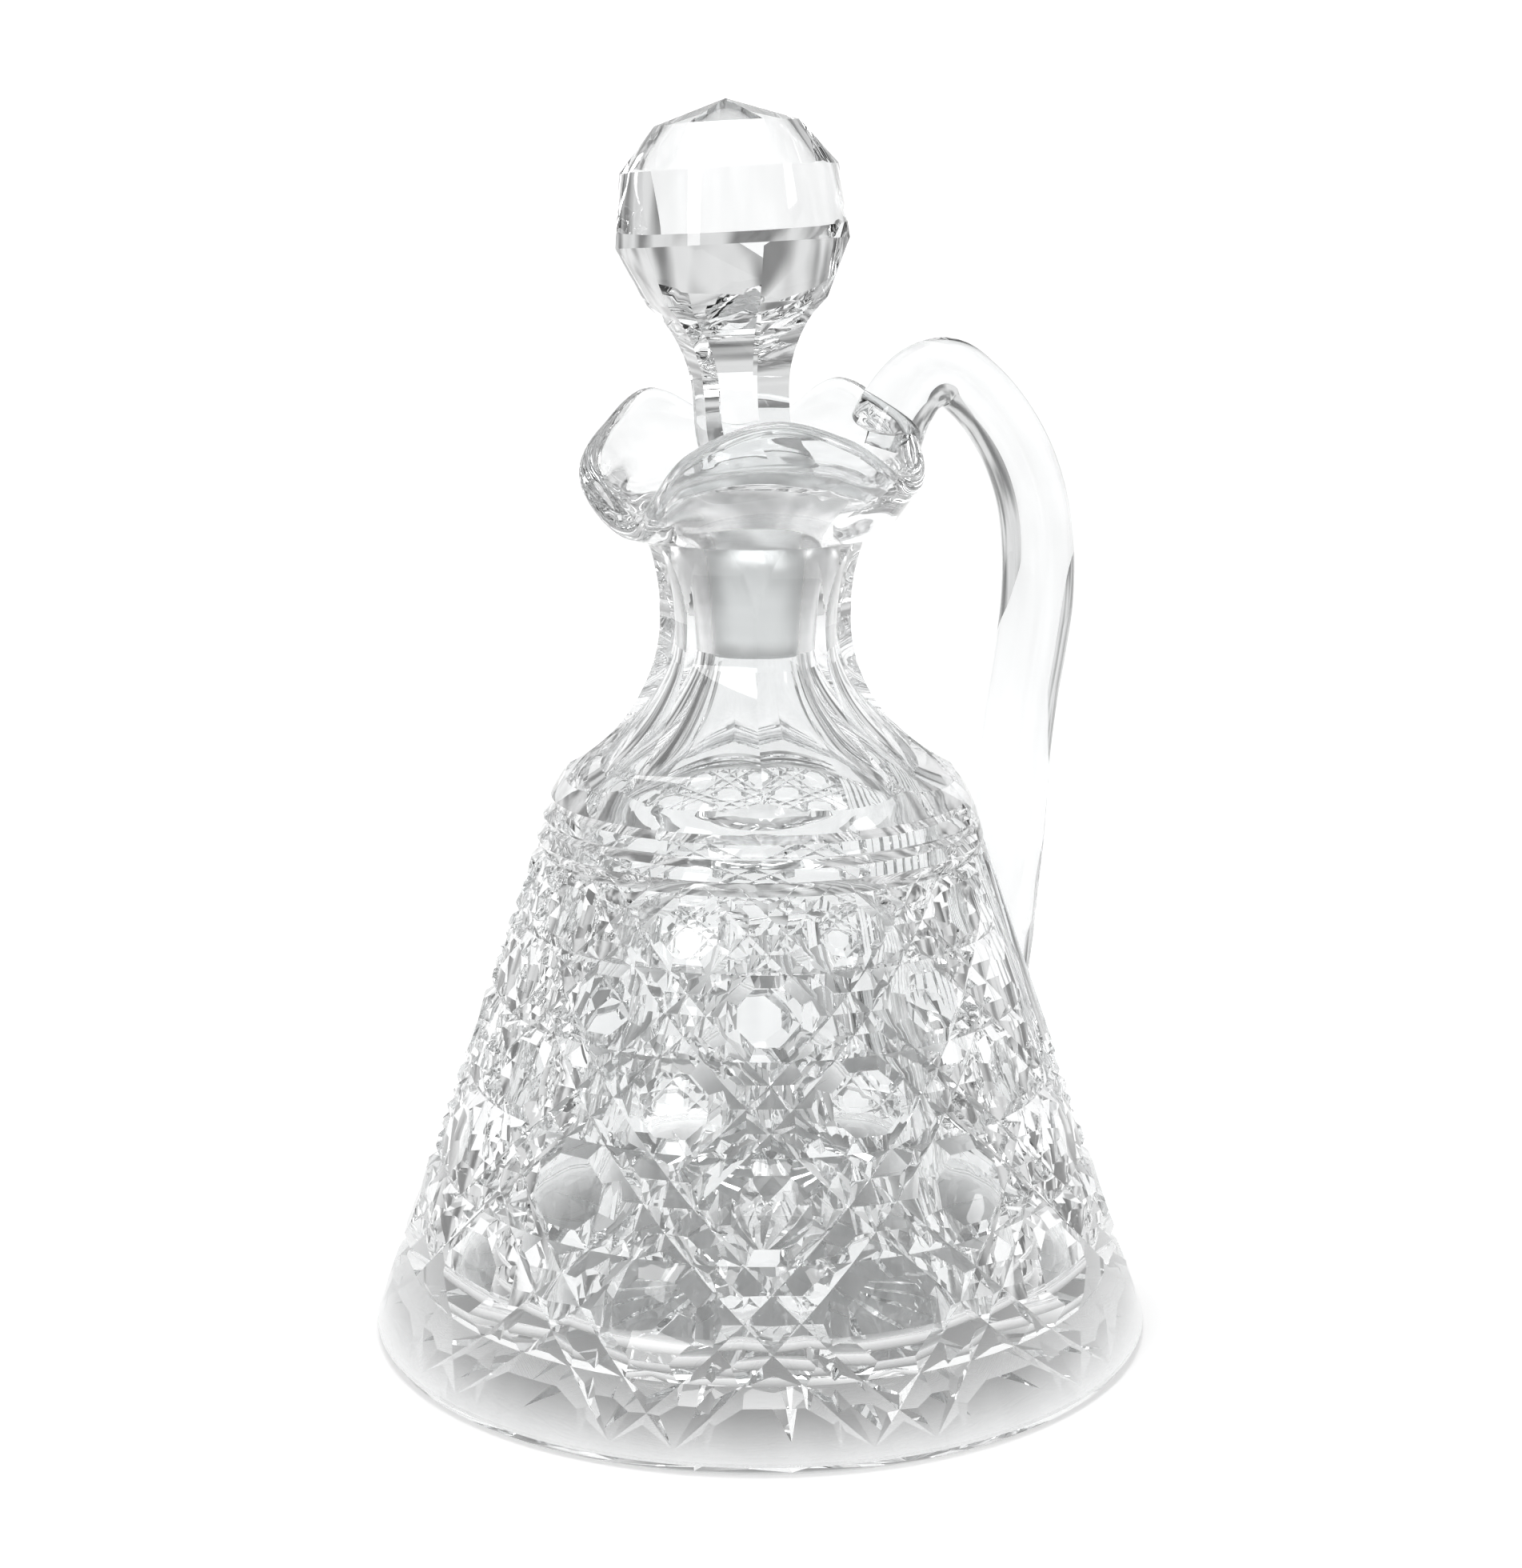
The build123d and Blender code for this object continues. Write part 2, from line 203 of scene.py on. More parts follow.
class Mesh:
    """Collects points in millimetres and faces with a material index and a smooth flag."""

    def __init__(self):
        self.points = []
        self.faces = []
        self.finishes = []
        self.smooth = []

    def point(self, x, y, z):
        self.points.append((x * MM, y * MM, z * MM))
        return len(self.points) - 1

    def polar(self, radius, azimuth, height):
        return self.point(radius * math.cos(azimuth), radius * math.sin(azimuth), height)

    def face(self, corners, finish=0, smooth=False):
        tidy = []
        for c in corners:
            if not tidy or tidy[-1] != c:
                tidy.append(c)
        if len(tidy) > 1 and tidy[0] == tidy[-1]:
            tidy.pop()
        if len(tidy) > 2:
            self.faces.append(tidy)
            self.finishes.append(finish)
            self.smooth.append(smooth)

    def band(self, lower, upper, finish=0, smooth=True, closed=True):
        count = len(lower)
        for i in range(count if closed else count - 1):
            j = (i + 1) % count
            self.face([lower[i], lower[j], upper[j], upper[i]], finish, smooth)

    def zipper(self, lower, lower_angles, upper, upper_angles, finish=0, smooth=True):
        """Fills the strip between two closed rings whose points stand at different azimuths."""
        i, j = 0, 0
        n, m = len(lower), len(upper)
        while i < n or j < m:
            next_low = lower_angles[i + 1] if i + 1 < n else lower_angles[0] + 2 * math.pi
            next_up = upper_angles[j + 1] if j + 1 < m else upper_angles[0] + 2 * math.pi
            if j >= m or (i < n and next_low <= next_up):
                self.face([lower[i % n], lower[(i + 1) % n], upper[j % m]], finish, smooth)
                i += 1
            else:
                self.face([lower[i % n], upper[(j + 1) % m], upper[j % m]], finish, smooth)
                j += 1

    def build(self, name, materials, sharp_deg=None):
        data = bpy.data.meshes.new(name)
        data.from_pydata(self.points, [], self.faces)
        for polygon, finish, smooth in zip(data.polygons, self.finishes, self.smooth):
            polygon.material_index = finish
            polygon.use_smooth = smooth
        for material in materials:
            data.materials.append(material)
        data.update()
        if sharp_deg:
            data.set_sharp_from_angle(angle=math.radians(sharp_deg))
        piece = bpy.data.objects.new(name, data)
        bpy.context.scene.collection.objects.link(piece)
        return piece


def drift(height):
    """How far the neck and all above it stand off the cone's axis, toward the lean."""
    share = min(max((height - DRIFT_START) / DRIFT_RUN, 0.0), 1.0)
    return NECK_DRIFT * share * share * (3 - 2 * share)


def drifted(mesh, radius, azimuth, height, share=1.0):
    off = drift(height) * share
    lean = math.radians(LEAN_AZIMUTH)
    return mesh.point(
        radius * math.cos(azimuth) + off * math.cos(lean),
        radius * math.sin(azimuth) + off * math.sin(lean),
        height,
    )


# ---------------------------------------------------------------- mitre cutting


class Mitre:
    """One straight V groove in the pattern plane: its line, and its half-width as a + b * y."""

    def __init__(self, nx, ny, offset, half, taper=0.0, slope=MITRE_SLOPE):
        self.nx, self.ny, self.offset = nx, ny, offset
        self.half, self.taper, self.slope = half, taper, slope

    def side(self, x, y):
        return self.nx * x + self.ny * y - self.offset

    def wall(self, sign):
        """The groove's wall as height = a x + b y + c on the side of the given sign."""
        s = self.slope
        return (
            s * sign * self.nx,
            s * (sign * self.ny - self.taper),
            s * (-sign * self.offset - self.half),
        )


def clip(polygon, a, b, c):
    """The part of a convex polygon where a x + b y + c <= 0."""
    kept = []
    count = len(polygon)
    for i in range(count):
        p, q = polygon[i], polygon[(i + 1) % count]
        fp, fq = a * p[0] + b * p[1] + c, a * q[0] + b * q[1] + c
        if fp <= 1e-9:
            kept.append(p)
        if (fp < -1e-9 and fq > 1e-9) or (fp > 1e-9 and fq < -1e-9):
            t = fp / (fp - fq)
            kept.append((p[0] + t * (q[0] - p[0]), p[1] + t * (q[1] - p[1])))
    return kept


def area(polygon):
    total = 0.0
    for i, p in enumerate(polygon):
        q = polygon[(i + 1) % len(polygon)]
        total += p[0] * q[1] - q[0] * p[1]
    return total / 2


def facets(region, mitres):
    """Splits a convex region of the pattern plane into the flat facets that the mitres leave."""
    cells = [region]
    near = []
    for mitre in mitres:
        sides = [mitre.side(x, y) for x, y in region]
        reach = max(mitre.half + mitre.taper * y for x, y in region)
        if min(sides) > reach or max(sides) < -reach or reach <= 0:
            continue
        near.append(mitre)
        split = []
        for cell in cells:
            for sign in (1, -1):
                half = clip(cell, sign * mitre.nx, sign * mitre.ny, -sign * mitre.offset)
                if len(half) > 2 and area(half) > 1e-8:
                    split.append(half)
        cells = split
    found = []
    for cell in cells:
        cx = sum(p[0] for p in cell) / len(cell)
        cy = sum(p[1] for p in cell) / len(cell)
        planes = [(0.0, 0.0, 0.0)]
        planes += [m.wall(1 if m.side(cx, cy) > 0 else -1) for m in near]
        for i, plane in enumerate(planes):
            rest = cell
            for j, other in enumerate(planes):
                if i != j:
                    rest = clip(rest, *(plane[k] - other[k] for k in range(3)))
                    if len(rest) < 3:
                        break
            if len(rest) > 2 and area(rest) > 1e-7:
                found.append((rest, plane, i == 0))
    return found


def slants(first, last, half, taper=0.0):
    """The doubled slanting mitres that cross between two pattern abscissas."""
    made = []
    reach = 2.0
    for sign in (1, -1):
        for whole in range(math.floor(first - reach), math.ceil(last + reach) + 1):
            for offset in (-SLANT_OFFSET, SLANT_OFFSET):
                diagonal = math.sqrt(0.5)
                made.append(
                    Mitre(diagonal, sign * diagonal, (whole + offset) * diagonal, half, taper)
                )
    return made


def uprights(first, last, half, taper=0.0):
    made = []
    for quarter in range(math.floor(2 * first) - 1, math.ceil(2 * last) + 1):
        made.append(Mitre(1, 0, 0.25 + 0.5 * quarter, half, taper))
    return made


def tapered(half, full_at, gone_at):
    """Half-width and taper of a mitre that is full at one height of the pattern and gone at another."""
    taper = half / (full_at - gone_at)
    return half - taper * full_at, taper


def column_facets(column):
    """All facets of one column. Columns are counted from the handle, where 0 starts."""
    left, right = column - 0.5, column + 0.5
    in_panel = column in (0, COLUMNS - 1)
    borders = []
    for edge in (0.5, COLUMNS - 1.5):
        if abs(edge - left) < 0.6 or abs(edge - right) < 0.6:
            borders.append(edge)
    found = []

    def region(x0, x1, y0, y1, mitres):
        found.extend(facets([(x0, y0), (x1, y0), (x1, y1), (x0, y1)], mitres))

    levels = [Mitre(0, 1, FIRST_LEVEL + 0.5 * i, LEVEL_HALF) for i in range(6)]
    pattern = levels + uprights(left, right, UPRIGHT_HALF) + slants(left, right, SLANT_HALF)

    foot = [levels[0]]
    foot += uprights(left, right, *tapered(UPRIGHT_HALF, FIRST_LEVEL, PATTERN_FOOT))
    foot += slants(left, right, *tapered(SLANT_HALF, FIRST_LEVEL, PATTERN_FOOT))
    for strip in range(STRIPS):
        x0, x1 = left + strip / STRIPS, left + (strip + 1) / STRIPS
        region(x0, x1, PATTERN_FOOT, FIRST_LEVEL, foot)

    border_low = [Mitre(1, 0, e, *tapered(BORDER_HALF, PANEL_FOOT, PANEL_FOOT - 0.2)) for e in borders]
    border_full = [Mitre(1, 0, e, BORDER_HALF) for e in borders]
    border_high = [Mitre(1, 0, e, *tapered(BORDER_HALF, LAST_LEVEL, PATTERN_HEAD)) for e in borders]
    region(left, right, FIRST_LEVEL, PANEL_FOOT - 0.2, pattern)
    region(left, right, PANEL_FOOT - 0.2, PANEL_FOOT, pattern + border_low)

    if in_panel:
        flute_at = []
        for i in range(STRIPS):
            x = left + (i + 0.5) / STRIPS
            from_handle = abs(x - (-0.5 if x < 0.5 else COLUMNS - 0.5))
            if from_handle > 0.25:
                flute_at.append(x)
        run = PANEL_FOOT + PANEL_RUN
        base = [levels[2]] + border_full
        base += uprights(left, right, *tapered(UPRIGHT_HALF, PANEL_FOOT, run))
        base += slants(left, right, *tapered(SLANT_HALF, PANEL_FOOT, run))
        base += [Mitre(1, 0, x, *tapered(1 / 16, run, PANEL_FOOT)) for x in flute_at]
        flutes = [Mitre(1, 0, x, 1 / 16) for x in flute_at]
        head = [Mitre(1, 0, x, *tapered(1 / 16, LAST_LEVEL, PATTERN_HEAD)) for x in flute_at]
        for strip in range(STRIPS):
            x0, x1 = left + strip / STRIPS, left + (strip + 1) / STRIPS
            region(x0, x1, PANEL_FOOT, run, base)
            region(x0, x1, run, LAST_LEVEL, flutes + border_full)
            region(x0, x1, LAST_LEVEL, PATTERN_HEAD, head + border_high)
    else:
        region(left, right, PANEL_FOOT, LAST_LEVEL, pattern + border_full)
        head = [levels[5]] + border_high
        head += uprights(left, right, *tapered(UPRIGHT_HALF, LAST_LEVEL, PATTERN_HEAD))
        head += slants(left, right, *tapered(SLANT_HALF, LAST_LEVEL, PATTERN_HEAD))
        for strip in range(STRIPS):
            x0, x1 = left + strip / STRIPS, left + (strip + 1) / STRIPS
            region(x0, x1, LAST_LEVEL, PATTERN_HEAD, head)
    return found


def pattern_radius(y):
    return MIDDLE_ROW_RADIUS * ROW_RATIO ** (-2 * y)


def pattern_azimuth(x):
    return (x + 0.5) * 2 * math.pi / COLUMNS


def on_cone(x, y, height):
    """A point of the pattern plane laid on the cone, height units of one column deep."""
    radius = pattern_radius(y)
    azimuth = pattern_azimuth(x)
    z = (CONE_FOOT - radius) / CONE_SLOPE
    sink = height * 2 * math.pi * radius / COLUMNS
    lean = math.atan(CONE_SLOPE)
    radius += sink * math.cos(lean)
    return radius * math.cos(azimuth), radius * math.sin(azimuth), z + sink * math.sin(lean)


def cells_between(first, last):
    """The lookup cells that a stretch of the pattern plane may touch."""
    return range(math.floor(first * CELLS - 0.01), math.floor(last * CELLS + 0.01) + 1)


def cut_pattern(mesh):
    """Adds the mitre-cut wall and returns its closed foot and head rings as (indices, azimuths)."""
    found = []
    for column in range(COLUMNS):
        found.extend(column_facets(column))
    known = {}
    spots = []
    grid = {}

    def spot(x, y):
        key = (round((x + 0.5) % COLUMNS, 5) % COLUMNS, round(y, 5))
        if key not in known:
            for dx in (-1e-5, 0, 1e-5):
                for dy in (-1e-5, 0, 1e-5):
                    near = (round(key[0] + dx, 5) % COLUMNS, round(key[1] + dy, 5))
                    if near in known:
                        known[key] = known[near]
                        return known[key]
            known[key] = len(spots)
            spots.append((key[0] - 0.5, key[1]))
            grid.setdefault((int(key[0] * CELLS), int((key[1] + 4) * CELLS)), []).append(known[key])
        return known[key]

    polygons = []
    heights = {}
    for polygon, plane, flat in found:
        ring = []
        for x, y in polygon:
            s = spot(x, y)
            heights.setdefault(s, plane[0] * x + plane[1] * y + plane[2])
            if not ring or ring[-1] != s:
                ring.append(s)
        if ring[0] == ring[-1]:
            ring.pop()
        if len(ring) > 2:
            polygons.append((ring, flat, polygon))

    width = COLUMNS * CELLS
    placed = {}

    def placed_point(s):
        if s not in placed:
            x, y = spots[s]
            placed[s] = mesh.point(*on_cone(x, y, heights[s]))
        return placed[s]

    for ring, flat, polygon in polygons:
        full = []
        for i, s in enumerate(ring):
            e = ring[(i + 1) % len(ring)]
            (x0, y0), (x1, y1) = spots[s], spots[e]
            if x1 - x0 > COLUMNS / 2:
                x1 -= COLUMNS
            if x0 - x1 > COLUMNS / 2:
                x1 += COLUMNS
            full.append(s)
            length = math.hypot(x1 - x0, y1 - y0)
            between = []
            gx0, gx1 = sorted((x0, x1))
            gy0, gy1 = sorted((y0, y1))
            for gx in cells_between(gx0 + 0.5, gx1 + 0.5):
                for gy in cells_between(gy0 + 4, gy1 + 4):
                    for c in grid.get((gx % width, gy), ()):
                        if c in (s, e):
                            continue
                        px, py = spots[c]
                        if px - x0 > COLUMNS / 2:
                            px -= COLUMNS
                        if x0 - px > COLUMNS / 2:
                            px += COLUMNS
                        t = ((px - x0) * (x1 - x0) + (py - y0) * (y1 - y0)) / length**2
                        off = abs((px - x0) * (y1 - y0) - (py - y0) * (x1 - x0)) / length
                        if 1e-4 < t < 1 - 1e-4 and off < 2e-5:
                            between.append((t, c))
            full.extend(c for t, c in sorted(between))
        corners = [placed_point(s) for s in full]
        if flat and area(polygon) > 0.06:
            dish_button(mesh, corners, polygon)
        elif len(corners) > 4:
            fan(mesh, corners)
        else:
            mesh.face(corners)

    rings = []
    for level in (PATTERN_FOOT, PATTERN_HEAD):
        on_ring = [(spots[s][0], s) for s in placed if abs(spots[s][1] - level) < 1e-5]
        on_ring.sort()
        rings.append(([placed[s] for x, s in on_ring], [pattern_azimuth(x) for x, s in on_ring]))
    return rings


def fan(mesh, corners):
    """A many-sided facet as triangles around its own middle."""
    cx, cy, cz = (sum(mesh.points[c][k] for c in corners) / len(corners) / MM for k in range(3))
    middle = mesh.point(cx, cy, cz)
    for i, corner in enumerate(corners):
        mesh.face([corner, corners[(i + 1) % len(corners)], middle])


def dish_button(mesh, corners, polygon):
    """An eight-sided button, ground slightly hollow toward its middle."""
    cx, cy, cz = (sum(mesh.points[c][k] for c in corners) / len(corners) / MM for k in range(3))
    radius = math.hypot(cx, cy)
    pitch = 2 * math.pi * radius / COLUMNS
    inward = Vector((-cx / radius, -cy / radius, -CONE_SLOPE)).normalized()
    outer = corners
    steps = (0.97, 0.8, 0.6, 0.4, 0.2)
    for share in steps:
        inner = []
        depth = BUTTON_DISH * pitch * (1 - share**2)
        for corner in corners:
            px, py, pz = (v / MM for v in mesh.points[corner])
            inner.append(
                mesh.point(
                    cx + (px - cx) * share + inward.x * depth,
                    cy + (py - cy) * share + inward.y * depth,
                    cz + (pz - cz) * share + inward.z * depth,
                )
            )
        mesh.band(outer, inner, 0, share < 0.97)
        outer = inner
    depth = BUTTON_DISH * pitch
    middle = mesh.point(cx + inward.x * depth, cy + inward.y * depth, cz + inward.z * depth)
    for i, corner in enumerate(outer):
        mesh.face([corner, outer[(i + 1) % len(outer)], middle], 0, True)


# ---------------------------------------------------------------- vessel


def azimuth_of(index):
    return math.radians(0.1 + index * 360 / SEGMENTS)


def flute_radius(azimuth, height):
    """Where the neck-fluting wheel leaves its surface, or a large value above and below it."""
    rise = height - WHEEL_AXIS_HEIGHT
    if abs(rise) >= WHEEL_RADIUS:
        return 1e3
    step = 2 * math.pi / FLUTES
    turn = (azimuth - math.radians(FLUTE_CLOCKING) + step / 2) % step - step / 2
    return (WHEEL_AXIS_RADIUS - math.sqrt(WHEEL_RADIUS**2 - rise**2)) / math.cos(turn)


def ring_cut_depth(azimuth, height):
    from_handle = abs((math.degrees(azimuth) + 180) % 360 - 180)
    reach = min(max((from_handle - PANEL_HALF_DEG) / 9.0, 0.0), 1.0)
    full = math.sqrt(reach)
    depth = 0.0
    for centre in RING_CUTS:
        depth = max(depth, (full - abs(height - centre) / RING_HALF) * RING_DEPTH)
    return depth


def shoulder_rings(mesh):
    heights = [89.25, 90.1, 91.0, 91.9, 92.75, 93.05, 93.9, 94.8, 95.7, 96.55]
    while heights[-1] < COLLAR - 0.9:
        heights.append(heights[-1] + 0.65)
    columns = []
    for index in range(SEGMENTS):
        azimuth = azimuth_of(index)
        levels = list(heights)
        for i in range(10, len(levels) - 1):
            a, b = heights[i], heights[i + 1]
            fa = shoulder_curve(a) - flute_radius(azimuth, a)
            fb = shoulder_curve(b) - flute_radius(azimuth, b)
            if fa * fb < 0:
                t = fa / (fa - fb)
                crease = a + t * (b - a)
                levels[i if t < 0.5 else i + 1] = crease
        column = []
        for height in levels:
            radius = min(shoulder_curve(height), flute_radius(azimuth, height))
            radius -= ring_cut_depth(azimuth, height)
            column.append(drifted(mesh, radius, azimuth, height))
        columns.append(column)
    return [[columns[i][level] for i in range(SEGMENTS)] for level in range(len(heights))]


def bezier(points, t):
    s = 1 - t
    weights = (s**3, 3 * s * s * t, 3 * s * t * t, t**3)
    return tuple(sum(w * p[k] for w, p in zip(weights, points)) for k in range(2))


def smooth_around(points):
    """A smooth closed curve through (azimuth in degrees, value) points."""
    turned = [(a - 360, v) for a, v in points] + points + [(a + 360, v) for a, v in points]
    curve = smooth_through(turned)
    return lambda azimuth: curve((math.degrees(azimuth) - points[0][0]) % 360 + points[0][0])


# The rim: azimuth from the handle, radius and height of the middle of its roll,
# the direction its wall rises in and the direction it leaves the collar in, in degrees
RIM = [
    (-160, 26.0, 144.4, 12, 0),
    (-135, 28.0, 155.0, 62, 18),
    (-107, 28.4, 160.6, 78, 34),
    (-80, 28.4, 157.6, 72, 26),
    (-57, 29.2, 151.6, 45, 8),
    (-25, 25.6, 155.4, 70, 20),
    (5, 24.6, 160.0, 78, 35),
    (38, 24.8, 165.0, 82, 40),
    (75, 26.5, 155.6, 55, 15),
    (112, 28.8, 163.2, 80, 30),
    (136, 29.0, 157.6, 68, 10),
    (165, 28.8, 151.2, 50, -4),
]
rim_radius_at, rim_height_at, rim_rise_at, collar_rise_at = (
    smooth_around([(p[0], p[k]) for p in RIM]) for k in (1, 2, 3, 4)
)


def lip_section(azimuth):
    """Radius and height of the lip's skin at one azimuth, from collar over the rim to the seat."""
    centre = Vector((rim_radius_at(azimuth), rim_height_at(azimuth)))
    rise = math.radians(rim_rise_at(azimuth))
    leave = math.radians(collar_rise_at(azimuth))
    along = Vector((math.cos(rise), math.sin(rise)))
    out = Vector((math.sin(rise), -math.cos(rise)))
    collar = Vector((COLLAR_RADIUS, COLLAR))
    skin_end = centre + out * RIM_ROUND
    reach = (skin_end - collar).length
    outer = [
        collar,
        collar + Vector((math.cos(leave), math.sin(leave))) * reach * 0.42,
        skin_end - along * reach * 0.38,
        skin_end,
    ]
    seat = Vector((SEAT_BOTTOM_RADIUS + SEAT_SLOPE * (SEAT_TOP - SEAT_BOTTOM), SEAT_TOP))
    well_end = centre - out * RIM_ROUND
    fall = (well_end - seat).length
    inner = [
        well_end,
        well_end - along * fall * 0.45,
        seat + Vector((0.9, 0.25 + 0.1 * math.sin(leave))) * fall * 0.28,
        seat,
    ]
    section = [bezier(outer, i / LIP_OUTER) for i in range(LIP_OUTER + 1)]
    for i in range(1, LIP_ROLL):
        turn = math.pi * i / LIP_ROLL
        spot = centre + out * RIM_ROUND * math.cos(turn) + along * RIM_ROUND * math.sin(turn)
        section.append((spot.x, spot.y))
    section += [bezier(inner, i / LIP_INNER) for i in range(LIP_INNER + 1)]
    return section


def lip_drift(k):
    """Share of the neck's drift along the lip: none at the rim, all at the collar and the seat."""
    if k <= LIP_OUTER:
        return 1 - k / LIP_OUTER
    return max(0.0, (k - LIP_OUTER - LIP_ROLL) / LIP_INNER)


def lip_rings(mesh):
    columns = []
    for index in range(SEGMENTS):
        azimuth = azimuth_of(index)
        column = []
        for k, (radius, height) in enumerate(lip_section(azimuth)):
            column.append(drifted(mesh, radius, azimuth, height, lip_drift(k)))
        columns.append(column)
    return [[column[k] for column in columns] for k in range(len(columns[0]))]


def ring(mesh, radius, height):
    return [drifted(mesh, radius, azimuth_of(i), height) for i in range(SEGMENTS)]


def inner_rings(mesh):
    """The ground seat and the liquid chamber, from the seat's top down to the floor."""
    rings = []
    finishes = []
    for i in range(1, 7):
        height = SEAT_TOP + (SEAT_BOTTOM - SEAT_TOP) * i / 6
        rings.append(ring(mesh, SEAT_BOTTOM_RADIUS + SEAT_SLOPE * (height - SEAT_BOTTOM), height))
        finishes.append(1)
    height = SEAT_BOTTOM
    while height > 79.5:
        height -= 1.5
        rings.append(ring(mesh, chamber_curve(height), height))
        finishes.append(0)
    corner = FLOOR_CORNER
    corner_radius = cone_radius(FLOOR + corner) - WALL
    for i in range(1, 13):
        z = height + (FLOOR + corner - height) * i / 12
        rings.append(ring(mesh, cone_radius(z) - WALL, z))
        finishes.append(0)
    for i in range(1, 15):
        turn = math.pi / 2 * i / 14
        rings.append(
            ring(
                mesh,
                corner_radius - corner + corner * math.cos(turn),
                FLOOR + corner - corner * math.sin(turn),
            )
        )
        finishes.append(0)
    for radius in (40.0, 25.0, 12.0):
        rings.append(ring(mesh, radius, FLOOR))
        finishes.append(0)
    return rings, finishes


def make_vessel(materials):
    mesh = Mesh()
    (foot, foot_angles), (head, head_angles) = cut_pattern(mesh)
    ring_angles = [azimuth_of(i) for i in range(SEGMENTS)]

    shoulder = shoulder_rings(mesh)
    mesh.zipper(head, head_angles, shoulder[0], ring_angles, 0, True)
    for lower, upper in zip(shoulder, shoulder[1:]):
        mesh.band(lower, upper)

    lip = lip_rings(mesh)
    mesh.band(shoulder[-1], lip[0])
    for lower, upper in zip(lip, lip[1:]):
        mesh.band(lower, upper)

    inner, finishes = inner_rings(mesh)
    mesh.band(lip[-1], inner[0], finishes[0])
    for k in range(1, len(inner)):
        mesh.band(inner[k - 1], inner[k], finishes[k])
    middle = mesh.point(0, 0, FLOOR)
    for i in range(SEGMENTS):
        mesh.face([inner[-1][i], inner[-1][(i + 1) % SEGMENTS], middle], 0, True)

    edge = ring(mesh, cone_radius(FOOT_EDGE), FOOT_EDGE)
    mesh.zipper(edge, ring_angles, foot, foot_angles, 0, True)
    bevel = ring(mesh, BASE_RADIUS, 0.25)
    rest = ring(mesh, BASE_RADIUS - 0.8, 0.0)
    mesh.band(bevel, edge)
    mesh.band(rest, bevel)
    star_base(mesh, rest)
    return mesh.build("cut_vessel", materials, 8)


def star_base(mesh, rest):
    """The star cut under the base: V rays that share their edges near the middle, then taper."""
    tips, valleys, ridges = [], [], []
    for k in range(STAR_RAYS):
        turn = 2 * math.pi * k / STAR_RAYS
        tips.append(mesh.polar(STAR_RADIUS, turn, 0))
        valleys.append(mesh.polar(STAR_WIDEST, turn, STAR_DEPTH))
        ridges.append(mesh.polar(STAR_WIDEST, turn + math.pi / STAR_RAYS, 0))
    centre = mesh.point(0, 0, 0.05)
    angles = []
    for k in range(STAR_RAYS):
        after = (k + 1) % STAR_RAYS
        mesh.face([centre, ridges[k], valleys[k]])
        mesh.face([centre, valleys[after], ridges[k]])
        mesh.face([valleys[k], ridges[k], tips[k]])
        mesh.face([tips[after], ridges[k], valleys[after]])
        mesh.face([ridges[k], tips[after], tips[k]])
        angles.append(2 * math.pi * k / STAR_RAYS)
    rest_angles = [azimuth_of(i) for i in range(SEGMENTS)]
    mesh.zipper(tips, angles, rest, rest_angles, 0, False)


# ---------------------------------------------------------------- handle


def make_handle(materials):
    path = [
        (22.0, 155.5, 16.0, 13.6),
        (25.2, 162.6, 14.6, 12.6),
        (29.6, 167.4, 13.2, 12.0),
        (35.0, 168.6, 12.4, 11.9),
        (40.6, 164.9, 12.6, 11.9),
        (45.4, 159.4, 12.9, 12.1),
        (49.2, 152.8, 13.1, 12.4),
        (51.8, 145.0, 13.2, 12.7),
        (53.0, 136.0, 13.2, 13.0),
        (52.9, 127.0, 13.2, 13.0),
        (51.8, 118.5, 13.2, 12.8),
        (50.4, 110.0, 13.3, 12.7),
        (49.2, 101.0, 13.8, 13.0),
        (48.4, 92.0, 14.2, 13.4),
        (48.0, 83.0, 13.8, 13.2),
        (48.1, 74.0, 12.2, 11.4),
        (48.9, 65.5, 9.4, 8.6),
        (50.2, 58.5, 5.4, 4.6),
        (51.4, 54.5, 2.0, 1.6),
    ]
    curves = [smooth_through([(i, p[k]) for i, p in enumerate(path)]) for k in range(4)]
    steps = 6 * (len(path) - 1)
    around = 48
    mesh = Mesh()
    rings = []
    for step in range(steps + 1):
        t = step / 6
        x, z, width, depth = (curve(t) for curve in curves)
        ahead = min(t + 0.05, len(path) - 1)
        behind = max(t - 0.05, 0)
        along = Vector((curves[0](ahead) - curves[0](behind), curves[1](ahead) - curves[1](behind)))
        along.normalize()
        section = []
        for i in range(around):
            turn = 2 * math.pi * i / around
            out = depth / 2 * math.cos(turn)
            section.append(
                mesh.point(x - along.y * out, width / 2 * math.sin(turn), z + along.x * out)
            )
        rings.append(section)
    for lower, upper in zip(rings, rings[1:]):
        mesh.band(lower, upper)
    mesh.face(list(reversed(rings[0])))
    mesh.face(rings[-1])
    piece = mesh.build("applied_handle_glass", materials)
    seat = vessel_envelope(0.12)
    cut = piece.modifiers.new("seat", "BOOLEAN")
    cut.operation = "DIFFERENCE"
    cut.solver = "EXACT"
    cut.object = seat
    apply_modifiers(piece)
    bpy.data.objects.remove(seat)
    return piece


